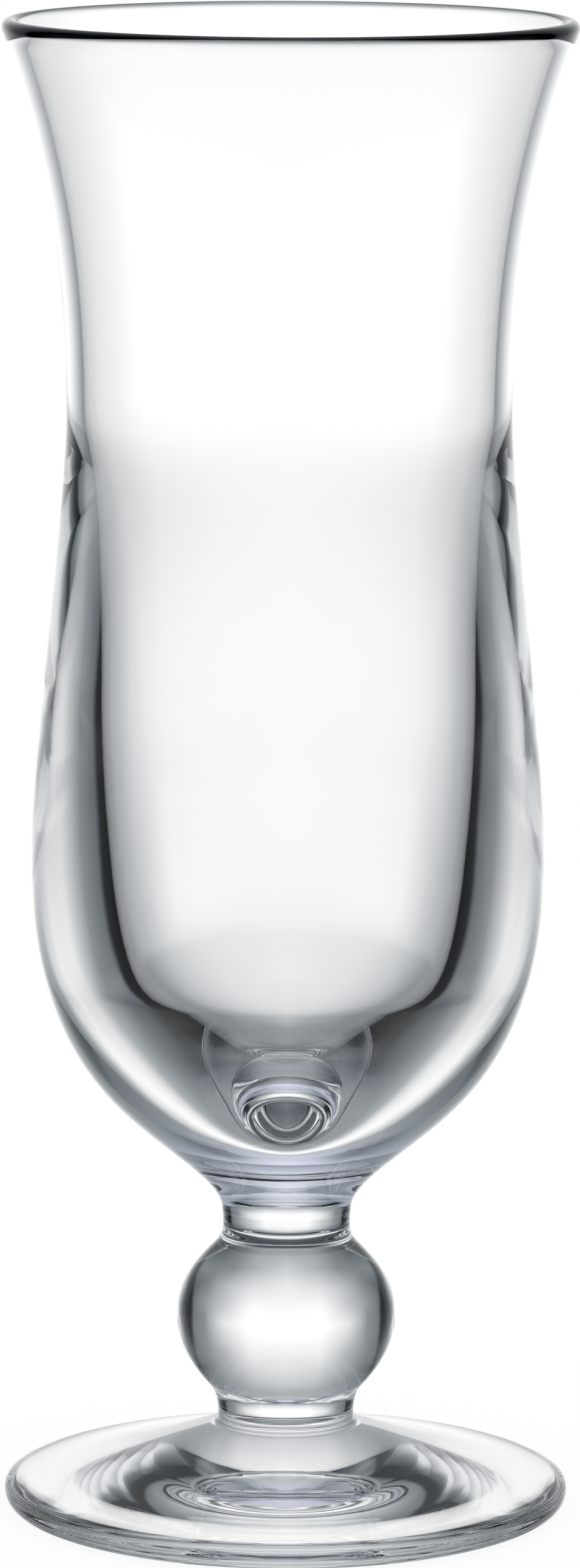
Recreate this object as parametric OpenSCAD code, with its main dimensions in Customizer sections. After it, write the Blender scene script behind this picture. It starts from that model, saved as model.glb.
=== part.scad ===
// Hurricane glass: a footed drinking glass of clear, thick-walled glass.
// It is one turned piece. The outline runs from the hollow under the foot, round
// the foot's edge, up the stem and the bowl, over the lip and down the inside to
// the bowl's floor. It passes through named places, and at each of them it has a
// named lean from the vertical, outwards counted as positive. From the lip to the
// waist the inside keeps to the outside, one wall thickness in from it.

/* [Lip] */
// Outside diameter across the lip
rim_d = 80; // [76:0.1:86]
// Radius that the lip is rounded to, which is half of the wall there
lip_r = 1.2; // [0.8:0.1:1.4]
// Lean of the wall at the lip, in degrees
rim_lean = 20.7; // [14:0.1:26]

/* [Bowl outside] */
// Height of the lip above the waist
waist_to_rim = 55; // [48:0.1:62]
// Outside diameter of the waist, the narrowest place of the bowl
waist_d = 62.1; // [60:0.1:66]
// Height of the waist above the bulge
bulge_to_waist = 61.5; // [54:0.1:70]
// Outside diameter of the bulge, the widest place low on the bowl
bulge_d = 72; // [69:0.1:77]
// Height of the bulge above the throat
throat_to_bulge = 51.4; // [48:0.1:58]
// Outside diameter half way down the flank, where it stops rounding in
flank_d = 52.8; // [49:0.1:56]
// Height of that place above the throat
flank_rise = 17.9; // [15:0.1:21]
// Lean of the flank there, in degrees
flank_lean = 39.6; // [34:0.1:46]

/* [Bowl inside] */
// Thickness of the wall at the waist, which the wall at the lip runs into
waist_wall = 2.5; // [2.2:0.1:3.2]
// Inside diameter of the straight part below the waist
bore_d = 53.1; // [48:0.1:55]
// Height of that straight part above the bulge
bore_rise = 22.5; // [15:0.1:32]
// Inside diameter where the bowl's floor rounds up into its wall
hip_d = 43.2; // [38:0.1:46]
// Height of that place above the floor
hip_rise = 16.5; // [12:0.1:20]
// Lean of the inside there, in degrees
hip_lean = 33; // [24:0.1:44]
// Solid glass between the throat and the bowl's floor
floor_t = 17; // [14:0.1:22]

/* [Stem] */
// Diameter of the throat, the upper neck of the stem
throat_d = 18.2; // [15:0.1:20]
// Height of the throat above the middle of the ball
ball_to_throat = 15.5; // [13.5:0.1:18]
// Diameter at which the ball runs into the throat
upper_blend_d = 20.2; // [20.1:0.1:23]
// Drop from the throat to that place
upper_blend_drop = 4.9; // [4:0.1:6]
// Lean of the ball there, in degrees
upper_blend_lean = 44.3; // [38:0.1:50]
// Diameter of the ball in the stem
ball_d = 30.9; // [27:0.1:35]
// Height of the ball's middle above the ankle
ankle_to_ball = 14.4; // [12.5:0.1:17]
// Diameter at which the ball runs into the ankle
lower_blend_d = 22.9; // [21.5:0.1:24.5]
// Rise from the ankle to that place
lower_blend_rise = 5.4; // [4.4:0.1:6.4]
// Lean of the ball there, in degrees
lower_blend_lean = 41.5; // [36:0.1:47]
// Diameter of the ankle, the lower neck of the stem
ankle_d = 19.2; // [16:0.1:20.5]
// Height of the ankle above the foot's root
root_to_ankle = 1; // [0.8:0.1:2]

/* [Foot] */
// Diameter at which the foot's top turns up into the ankle
root_d = 21.6; // [21:0.1:26]
// Height of the foot there, above the table
root_h = 11.6; // [9:0.1:14]
// Slope of the foot's top there, in degrees from level
root_slope = 20; // [15:0.1:28]
// Outside diameter of the foot
foot_d = 79.9; // [74:0.1:88]
// Height of the foot's widest line above the table
edge_h = 2.3; // [1.9:0.1:2.8]
// Thickness of the foot where its top turns down into the edge
edge_t = 3.85; // [3.4:0.05:5]
// Distance from the widest line in to that place
edge_top_inset = 1.85; // [1.2:0.05:2.6]
// Slope of the foot's top just inside the edge, in degrees from level
edge_slope = 10; // [7:0.1:14]
// Distance from the widest line in to the ring that stands on the table
edge_ring_inset = 2.25; // [1.4:0.05:3]
// Width of that ring
ring_w = 1.5; // [1:0.1:4]
// Depth of the hollow inside the ring
hollow_h = 0.5; // [0.3:0.1:1.5]

/* [Curves] */
// How far the outline keeps its lean at the lip, as a share of the way to the next place
lip_hold = 0.45; // [0.2:0.01:0.6]
// The same at the waist
waist_hold = 0.19; // [0.1:0.01:0.4]
// The same at the bulge
bulge_hold = 0.2; // [0.1:0.01:0.4]
// The same on the flank
flank_hold = 0.43; // [0.2:0.01:0.6]
// The same at the throat
throat_hold = 0.2; // [0.1:0.01:0.5]
// The same where the ball runs into the throat
upper_blend_hold = 0.47; // [0.2:0.01:0.6]
// The same round the ball
ball_hold = 0.37; // [0.25:0.01:0.5]
// The same where the ball runs into the ankle
lower_blend_hold = 0.28; // [0.15:0.01:0.5]
// The same at the ankle
ankle_hold = 0.6; // [0.3:0.01:0.65]
// The same at the foot's root and on its top
root_hold = 0.35; // [0.2:0.01:0.5]
// The same where the foot's top turns down into the edge
edge_top_hold = 0.5; // [0.3:0.01:0.6]
// The same round the foot's edge
edge_hold = 0.45; // [0.3:0.01:0.6]
// The same where the edge meets the ring
ring_hold = 0.35; // [0.2:0.01:0.6]
// The same inside the waist, downwards
waist_inside_hold = 0.2; // [0.15:0.01:0.5]
// The same in the straight part of the inside
bore_hold = 0.6; // [0.3:0.01:0.65]
// The same where the bowl's floor has rounded up, on the side of the floor
hip_hold = 0.45; // [0.25:0.01:0.6]
// The same there, on the side of the wall
hip_wall_hold = 0.1; // [0.05:0.01:0.25]
// The same across the bowl's floor
floor_hold = 0.18; // [0.12:0.01:0.4]
// The same across the hollow under the foot
hollow_hold = 0.5; // [0.3:0.01:0.6]

/* [Hidden] */

// Number of straight steps that each stretch of the outline is drawn with
steps = 18;
// Number of straight steps round the lip
lip_steps = 12;
// Facets of the preview, once round the glass
$fn = 180;

// Heights above the table, each stacked on the one below
ankle_z = root_h + root_to_ankle;
ball_z = ankle_z + ankle_to_ball;
throat_z = ball_z + ball_to_throat;
floor_z = throat_z + floor_t;
bulge_z = throat_z + throat_to_bulge;
waist_z = bulge_z + bulge_to_waist;
total_h = waist_z + waist_to_rim;

// Middle of the lip's rounding
lip_mid = [rim_d / 2 - lip_r, total_h - lip_r];

// A direction that leans by so many degrees from straight up
function way(lean) = [sin(lean), cos(lean)];

// A place of the outline is its radius, its height, its lean and its hold. A second
// hold, where there is one, is for the stretch that leaves the place.
function spot(place) = [place[0], place[1]];
function leaving_hold(place) = len(place) > 4 ? place[4] : place[3];

// The two ends of the stretch from one place to the next, and its two pulls between them
function pulls(from, to) =
    let (reach = norm(spot(to) - spot(from)))
    [spot(from), spot(from) + leaving_hold(from) * reach * way(from[2]),
     spot(to) - to[3] * reach * way(to[2]), spot(to)];

// The point of a stretch at a share of the way along it
function on_stretch(p, t) =
    (1 - t) ^ 3 * p[0] + 3 * (1 - t) ^ 2 * t * p[1] + 3 * (1 - t) * t ^ 2 * p[2] + t ^ 3 * p[3];

// The direction that a stretch runs in there
function heading(p, t) =
    (1 - t) ^ 2 * (p[1] - p[0]) + 2 * (1 - t) * t * (p[2] - p[1]) + t ^ 2 * (p[3] - p[2]);

// Square to a direction that runs upwards, on the side of the axis
function inwards(direction) = [-direction.y, direction.x] / norm(direction);

// The smooth stretch of outline from one place to the next, without its first point
function stretch(from, to) =
    let (p = pulls(from, to))
    [for (i = [1 : steps]) on_stretch(p, i / steps)];

// The whole run of stretches through a list of places
function run(places) = concat(
    [spot(places[0])],
    [for (i = [1 : len(places) - 1]) each stretch(places[i - 1], places[i])]
);

// The point of the lip at an angle up from the outside
function lip_point(angle) = lip_mid + lip_r * [cos(angle), sin(angle)];

ring_r = foot_d / 2 - edge_ring_inset;

// Under the foot: from the middle of the hollow out to the ring
hollow = [
    [0, hollow_h, 90, hollow_hold],
    [ring_r - ring_w, 0, 90 + edge_slope, hollow_hold]
];

// Outside: from the ring, round the edge and up to the lip
outside = [
    [ring_r, 0, 90, ring_hold],
    [foot_d / 2, edge_h, 0, edge_hold],
    [foot_d / 2 - edge_top_inset, edge_t, edge_slope - 90, edge_top_hold],
    [root_d / 2, root_h, root_slope - 90, root_hold],
    [ankle_d / 2, ankle_z, 0, ankle_hold],
    [lower_blend_d / 2, ankle_z + lower_blend_rise, lower_blend_lean, lower_blend_hold],
    [ball_d / 2, ball_z, 0, ball_hold],
    [upper_blend_d / 2, throat_z - upper_blend_drop, -upper_blend_lean, upper_blend_hold],
    [throat_d / 2, throat_z, 0, throat_hold],
    [flank_d / 2, throat_z + flank_rise, flank_lean, flank_hold],
    [bulge_d / 2, bulge_z, 0, bulge_hold],
    [waist_d / 2, waist_z, 0, waist_hold],
    [lip_point(-rim_lean).x, lip_point(-rim_lean).y, rim_lean, lip_hold]
];

// Outside from the waist to the lip, which the inside keeps to there
upper = pulls(outside[len(outside) - 2], outside[len(outside) - 1]);

// How much thicker the wall is at the waist than at the lip
wall_gain = waist_wall - 2 * lip_r;

// The wall thins from the waist up, quickly at first
function upper_wall(t) = 2 * lip_r + wall_gain * (1 - t) ^ 3;

// Lean of the inside at the waist that comes from that
waist_inside_lean = atan(wall_gain / norm(upper[1] - upper[0]));

// Inside: from the middle of the bowl's floor up to the waist
inside = [
    [0, floor_z, 90, floor_hold],
    [hip_d / 2, floor_z + hip_rise, hip_lean, hip_hold, hip_wall_hold],
    [bore_d / 2, bulge_z + bore_rise, 0, bore_hold],
    [waist_d / 2 - waist_wall, waist_z, waist_inside_lean, waist_inside_hold]
];

// Inside: from the waist up to the lip, without its first point
upper_inside = [for (i = [1 : steps])
    on_stretch(upper, i / steps) + upper_wall(i / steps) * inwards(heading(upper, i / steps))];

// Over the lip: from the outside to the inside, without its two ends
lip = [for (i = [1 : lip_steps - 1]) lip_point(180 * i / lip_steps - rim_lean)];

function backwards(points) = [for (i = [len(points) - 1 : -1 : 0]) points[i]];

// The one solid of clear glass
module glass() {
    color([0.84, 0.88, 0.9, 0.4])
        rotate_extrude(convexity = 6)
            polygon(concat(
                run(hollow), run(outside), lip, backwards(upper_inside), backwards(run(inside))));
}

glass();
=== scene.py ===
from math import pi, radians

import bmesh
import bpy
from mathutils import Matrix


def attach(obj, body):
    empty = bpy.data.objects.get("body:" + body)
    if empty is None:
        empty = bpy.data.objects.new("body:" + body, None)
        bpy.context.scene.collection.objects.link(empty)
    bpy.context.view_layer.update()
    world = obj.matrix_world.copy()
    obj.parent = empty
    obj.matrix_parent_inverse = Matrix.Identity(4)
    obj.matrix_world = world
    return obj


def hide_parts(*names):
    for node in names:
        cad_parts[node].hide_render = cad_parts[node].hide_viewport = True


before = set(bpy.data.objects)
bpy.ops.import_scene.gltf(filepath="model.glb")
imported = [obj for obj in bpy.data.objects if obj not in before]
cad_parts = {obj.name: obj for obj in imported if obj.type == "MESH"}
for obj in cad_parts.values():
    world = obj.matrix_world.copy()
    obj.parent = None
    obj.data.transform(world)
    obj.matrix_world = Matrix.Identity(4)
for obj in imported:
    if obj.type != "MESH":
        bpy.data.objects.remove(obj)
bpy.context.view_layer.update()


# The turned glass

TURNS_OF_SPIN = 256
IN_PLANE = 1e-7
JOINED = 2e-7


def outline_edges(mesh):
    """Keeps only the outline of a turned solid: its edges in the half plane y = 0, x >= 0."""
    bmesh.ops.remove_doubles(mesh, verts=mesh.verts, dist=IN_PLANE)
    in_plane = {v for v in mesh.verts if abs(v.co.y) < IN_PLANE and v.co.x > -IN_PLANE}
    kept = {e for e in mesh.edges if all(v in in_plane for v in e.verts)}
    bmesh.ops.delete(mesh, geom=mesh.faces, context="FACES_ONLY")
    spare = [e for e in mesh.edges if e not in kept]
    bmesh.ops.delete(mesh, geom=spare, context="EDGES")
    loose = [v for v in mesh.verts if not v.link_edges]
    bmesh.ops.delete(mesh, geom=loose, context="VERTS")
    return mesh.verts[:] + mesh.edges[:]


def turned_glass(cad_node):
    """The glass as one smooth closed shell: the outline of the CAD solid, spun finely."""
    mesh = bmesh.new()
    mesh.from_mesh(cad_node.data)
    outline = outline_edges(mesh)
    bmesh.ops.spin(mesh, geom=outline, cent=(0, 0, 0), axis=(0, 0, 1), angle=2 * pi,
                   steps=TURNS_OF_SPIN, use_merge=True, use_duplicate=False)
    bmesh.ops.remove_doubles(mesh, verts=mesh.verts, dist=JOINED)
    bmesh.ops.recalc_face_normals(mesh, faces=mesh.faces)
    for face in mesh.faces:
        face.smooth = True
    return shown("turned_glass", mesh)


def shown(name, mesh):
    """A bmesh as an object of the scene, at the origin."""
    data = bpy.data.meshes.new(name)
    mesh.to_mesh(data)
    mesh.free()
    piece = bpy.data.objects.new(name, data)
    bpy.context.scene.collection.objects.link(piece)
    return piece


# Node helpers

def node(tree, kind, inputs=None, **settings):
    """A new node with its settings, and its inputs linked or set."""
    made = tree.nodes.new(kind)
    for name, value in settings.items():
        setattr(made, name, value)
    for name, value in (inputs or {}).items():
        socket = made.inputs[name]
        if isinstance(value, bpy.types.NodeSocket):
            tree.links.new(value, socket)
        else:
            socket.default_value = value
    return made


def reckon(tree, operation, *values):
    """The result of one Math node."""
    return node(tree, "ShaderNodeMath", dict(enumerate(values)), operation=operation).outputs[0]


def product(tree, *values):
    result = values[0]
    for value in values[1:]:
        result = reckon(tree, "MULTIPLY", result, value)
    return result


def rest_of(tree, share):
    """One less the share."""
    return reckon(tree, "SUBTRACT", 1.0, share)


def fresh_tree(data):
    data.use_nodes = True
    data.node_tree.nodes.clear()
    return data.node_tree


def ramp(tree, value, low, high, stops):
    """A colour ramp from (place, grey level) pairs, over a value that runs from low to high."""
    share = node(tree, "ShaderNodeMapRange", {"Value": value, "From Min": low, "From Max": high})
    made = node(tree, "ShaderNodeValToRGB", {"Fac": share.outputs[0]})
    marks = made.color_ramp.elements
    while len(marks) < len(stops):
        marks.new(0.5)
    for mark, (place, level) in zip(marks, stops):
        mark.position = (place - low) / (high - low)
    for mark, (place, level) in zip(marks, stops):
        mark.color = (level, level, level, 1)
    return made.outputs[0]


def linear(screen):
    """Light level of a screen brightness from 0 to 255."""
    level = screen / 255
    return level / 12.92 if level < 0.04045 else ((level + 0.055) / 1.055) ** 2.4


# Clear glass

# Cells of the slow waves to the metre
WAVES = 45.0
# Cells of the fine rings to the metre of radius and height
RINGS = 380.0
# Height of the slow waves in the relief
WAVE_SHARE = 0.6
# Height of the rings, against height above the table in metres: most at the foot's root and the
# throat, some on the foot, and little elsewhere
RING_SHARE = (
    (0.0, 0.16), (0.008, 0.16), (0.01, 0.6), (0.013, 0.6), (0.016, 0.03),
    (0.038, 0.05), (0.043, 0.6), (0.05, 0.6), (0.056, 0.12), (0.07, 0.02))
RING_TOP = 0.1
RELIEF = {"Strength": 0.05, "Distance": 0.001}
# What a shadow keeps of the light at each surface that it passes
PASSED = (0.97, 0.975, 0.975, 1)
DEPTH_TINT = (0.82, 0.9, 0.92, 1)
DEPTH_DENSITY = 0.8


def ripple(tree):
    """Normals with slow waves all over and fine turned rings on the foot and the necks."""
    place = node(tree, "ShaderNodeTexCoord").outputs["Object"]
    part = node(tree, "ShaderNodeSeparateXYZ", {0: place}).outputs
    around = node(tree, "ShaderNodeCombineXYZ", {"X": part["X"], "Y": part["Y"]}).outputs[0]
    radius = node(tree, "ShaderNodeVectorMath", {0: around}, operation="LENGTH").outputs["Value"]
    waves = node(tree, "ShaderNodeTexNoise", {
        "Vector": place, "Scale": WAVES, "Detail": 1.0, "Roughness": 0.4}).outputs[0]
    ring_place = node(tree, "ShaderNodeCombineXYZ", {
        "X": product(tree, part["X"], WAVES), "Y": product(tree, part["Y"], WAVES),
        "Z": product(tree, reckon(tree, "ADD", radius, part["Z"]), RINGS)}).outputs[0]
    rings = node(tree, "ShaderNodeTexNoise", {
        "Vector": ring_place, "Scale": 1.0, "Detail": 1.0, "Roughness": 0.4,
        "Distortion": 0.2}).outputs[0]
    ringed = ramp(tree, part["Z"], 0.0, RING_TOP, RING_SHARE)
    relief = reckon(tree, "ADD", product(tree, waves, WAVE_SHARE),
                    product(tree, reckon(tree, "SUBTRACT", rings, 0.5), ringed))
    return node(tree, "ShaderNodeBump", {"Height": relief, **RELIEF}).outputs[0]


def clear_glass():
    """Clear pressed glass, which lets the light of shadows and of the floor straight through."""
    material = bpy.data.materials.new("clear_glass")
    tree = fresh_tree(material)
    shell = node(tree, "ShaderNodeBsdfPrincipled", {
        "Base Color": (1, 1, 1, 1), "Roughness": 0.0, "IOR": 1.5,
        "Transmission Weight": 1.0, "Normal": ripple(tree)})
    passing = node(tree, "ShaderNodeBsdfTransparent", {"Color": PASSED})
    rays = node(tree, "ShaderNodeLightPath").outputs
    soft = reckon(tree, "MAXIMUM", rays["Is Shadow Ray"], rays["Is Diffuse Ray"])
    surface = node(tree, "ShaderNodeMixShader", {
        0: soft, 1: shell.outputs[0], 2: passing.outputs[0]})
    depth = node(tree, "ShaderNodeVolumeAbsorption", {
        "Color": DEPTH_TINT, "Density": DEPTH_DENSITY})
    node(tree, "ShaderNodeOutputMaterial", {
        "Surface": surface.outputs[0], "Volume": depth.outputs[0]})
    return material


# The studio. A direction is its rise above level and its turn away from straight behind the
# glass, to the left and the right alike, both in degrees.

# Screen brightness of each band of the surroundings, from the rise that the row names, at each turn
TURNS = (0, 13, 25, 37, 48, 52, 56, 60, 65, 76, 86, 110, 145, 180)
BANDS = {
    # Ceiling over the glass
    80: (250, 248, 245, 240, 235, 232, 230, 230, 230, 228, 225, 222, 218, 215),
    62: (215, 206, 195, 165, 140, 136, 135, 137, 150, 165, 172, 175, 160, 150),
    # Upper wall
    30: (185, 178, 163, 143, 112, 100, 85, 60, 50, 95, 130, 140, 115, 95),
    9: (242, 238, 190, 149, 120, 95, 60, 40, 50, 115, 225, 232, 160, 100),
    # White backdrop, and white walls at the sides and in front
    -5: (269, 271, 237, 143, 118, 75, 25, 15, 30, 110, 236, 255, 255, 250),
    -13: (259, 260, 204, 158, 118, 100, 80, 55, 90, 155, 245, 255, 255, 250),
    -21: (245, 231, 194, 138, 108, 98, 80, 50, 45, 120, 225, 250, 252, 250),
    -29: (208, 178, 140, 138, 135, 130, 110, 50, 5, 20, 100, 200, 235, 240),
    # Table around the glass
    -38: (162, 160, 123, 95, 98, 98, 85, 45, 0, 5, 60, 90, 190, 210),
    -52: (160, 143, 98, 35, 0, 0, 0, 0, 10, 45, 35, 35, 50, 60),
    # Table beside the foot
    -72: (109, 100, 92, 84, 50, 30, 40, 60, 80, 90, 76, 76, 80, 83),
}
# The ramps hold levels up to 1, so they are written as shares of this brightness
BRIGHTEST = linear(272)
# Turn of the middle of the dark cards that stand beside the backdrop, against rise
CARD_MIDDLE = ((-70, 44), (-62, 47), (-50, 50), (-40, 62), (-26, 64),
               (-18, 59), (-6, 55.5), (14, 57), (30, 61), (50, 64))
# How dark the cards are, against rise
CARD_DEPTH = ((-72, 0.3), (-60, 1), (30, 1), (50, 0))
# How far from a card's middle its darkness is full, and how far it has ended
CARD_FULL, CARD_END = 4.0, 9.5
# Share of the light that mirror images keep, against turn: they show a dim room at the sides
ROOM = ((62, 1), (82, 0.1))
# Dark light is a little colder than bright light, and the ceiling is bluer
RED_POWER, BLUE_POWER = 1.068, 0.955
CEILING_BLUE = 1.16
CEILING = ((40, 1 / CEILING_BLUE), (58, 1))


def over_turn(tree, turn, stops):
    return ramp(tree, turn, 0, pi, [(radians(place), level) for place, level in stops])


def over_rise(tree, rise, stops):
    return ramp(tree, rise, -pi / 2, pi / 2, [(radians(place), level) for place, level in stops])


def banded(tree, turn, rise):
    """The bands, each fading into the next over the rise between them."""
    heights = sorted(BANDS)
    total = None
    for below, height, above in zip([-90, *heights], heights, [*heights[1:], 90]):
        fade = [(below, 0.0), (height, 1.0), (above, 0.0)]
        if height == heights[0]:
            fade[0] = (-90, 1.0)
        else:
            fade.insert(0, (-90, 0.0))
        if height == heights[-1]:
            fade[-1] = (90, 1.0)
        else:
            fade.append((90, 0.0))
        levels = [(place, linear(level) / BRIGHTEST) for place, level in zip(TURNS, BANDS[height])]
        lit = product(tree, over_turn(tree, turn, levels), over_rise(tree, rise, fade))
        total = lit if total is None else reckon(tree, "ADD", total, lit)
    return total


def beside_cards(tree, turn, rise):
    """Share of the light that the dark cards leave."""
    middle = over_rise(tree, rise, [(place, radians(card) / pi) for place, card in CARD_MIDDLE])
    depth = over_rise(tree, rise, CARD_DEPTH)
    away = reckon(tree, "ABSOLUTE", reckon(tree, "SUBTRACT", turn, product(tree, middle, pi)))
    clear = node(tree, "ShaderNodeMapRange", {
        "Value": away, "From Min": radians(CARD_FULL), "From Max": radians(CARD_END)},
        interpolation_type="SMOOTHSTEP").outputs[0]
    return rest_of(tree, product(tree, depth, rest_of(tree, clear)))


def studio_light(scene):
    """The glass and its mirror images see the bands. The camera and the floor see plain white."""
    world = bpy.data.worlds.new("studio")
    scene.world = world
    world.cycles.sampling_method = "NONE"
    tree = fresh_tree(world)
    ray = node(tree, "ShaderNodeTexCoord").outputs["Generated"]
    part = node(tree, "ShaderNodeSeparateXYZ", {0: ray}).outputs
    turn = reckon(tree, "ABSOLUTE", reckon(tree, "ARCTAN2", part["X"], part["Y"]))
    rise = reckon(tree, "ARCSINE", part["Z"])
    rays = node(tree, "ShaderNodeLightPath").outputs
    unlit = product(tree, rays["Is Reflection Ray"], rest_of(tree, over_turn(tree, turn, ROOM)))
    shade = product(tree, beside_cards(tree, turn, rise), rest_of(tree, unlit))
    total = product(tree, banded(tree, turn, rise), shade, BRIGHTEST)
    blue = product(tree, reckon(tree, "POWER", total, BLUE_POWER),
                   product(tree, over_rise(tree, rise, CEILING), CEILING_BLUE))
    cool = node(tree, "ShaderNodeCombineColor", {
        "Red": reckon(tree, "POWER", total, RED_POWER), "Green": total, "Blue": blue}).outputs[0]
    plain = reckon(tree, "MAXIMUM", rays["Is Camera Ray"], rays["Is Diffuse Ray"])
    colour = node(tree, "ShaderNodeMix", {0: plain, 6: cool, 7: (1, 1, 1, 1)}, data_type="RGBA")
    light = node(tree, "ShaderNodeBackground", {"Color": colour.outputs[2], "Strength": 1.0})
    node(tree, "ShaderNodeOutputWorld", {"Surface": light.outputs[0]})


# The floor

FLOOR_RADIUS = 0.12
FLOOR_DROP = 0.0002
# The floor starts to fade just inside the foot's edge, and has gone shortly before its own edge
FADE_START, FADE_END = 0.038, FLOOR_RADIUS * 0.95


def floor():
    """White paper that takes the shadow, open to rays from the glass, which see the bands."""
    mesh = bmesh.new()
    bmesh.ops.create_circle(mesh, cap_ends=True, radius=FLOOR_RADIUS, segments=128,
                            matrix=Matrix.Translation((0, 0, -FLOOR_DROP)))
    disc = shown("floor", mesh)
    material = bpy.data.materials.new("pale_floor")
    tree = fresh_tree(material)
    place = node(tree, "ShaderNodeTexCoord").outputs["Object"]
    away = node(tree, "ShaderNodeVectorMath", {0: place}, operation="LENGTH").outputs["Value"]
    fade = node(tree, "ShaderNodeMapRange", {
        "Value": away, "From Min": FADE_START, "From Max": FADE_END},
        interpolation_type="SMOOTHSTEP")
    paper = node(tree, "ShaderNodeBsdfDiffuse", {"Color": (1, 1, 1, 1)})
    beyond = node(tree, "ShaderNodeBsdfTransparent", {"Color": (1, 1, 1, 1)})
    rays = node(tree, "ShaderNodeLightPath").outputs
    from_glass = reckon(tree, "MAXIMUM", rays["Is Transmission Ray"], rays["Is Glossy Ray"])
    unseen = reckon(tree, "MAXIMUM", from_glass, fade.outputs[0])
    surface = node(tree, "ShaderNodeMixShader", {
        0: unseen, 1: paper.outputs[0], 2: beyond.outputs[0]})
    node(tree, "ShaderNodeOutputMaterial", {"Surface": surface.outputs[0]})
    disc.data.materials.append(material)


# The camera

SENSOR = 36
# Distance of the picture from the lens, and the picture's height, in its own pixels
FOCUS, PICTURE = 13067, 2576
EYE = (0, -1.1012, 0.2816)
# In degrees: down from level, aside, and leaning
DOWN, ASIDE, LEANING = 9.198, -0.014, 0.214


def camera(scene):
    """The photograph's view, from the front and a little above."""
    data = bpy.data.cameras.new("camera")
    data.sensor_width = SENSOR
    data.lens = FOCUS / PICTURE * SENSOR
    data.clip_start = 0.05
    data.clip_end = 50
    eye = bpy.data.objects.new("camera", data)
    scene.collection.objects.link(eye)
    eye.matrix_world = (Matrix.Translation(EYE) @ Matrix.Rotation(radians(ASIDE), 4, "Z")
                        @ Matrix.Rotation(radians(90 - DOWN), 4, "X")
                        @ Matrix.Rotation(radians(LEANING), 4, "Z"))
    scene.camera = eye


scene = bpy.context.scene
scene.view_settings.view_transform = "Standard"
# Light goes back and forth many times inside the thick parts
scene.cycles.max_bounces = 48
scene.cycles.transmission_bounces = 48
scene.cycles.glossy_bounces = 16
camera(scene)
studio_light(scene)
floor()

glass = turned_glass(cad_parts["glass"])
glass.data.materials.append(clear_glass())
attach(glass, "root")
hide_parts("glass")
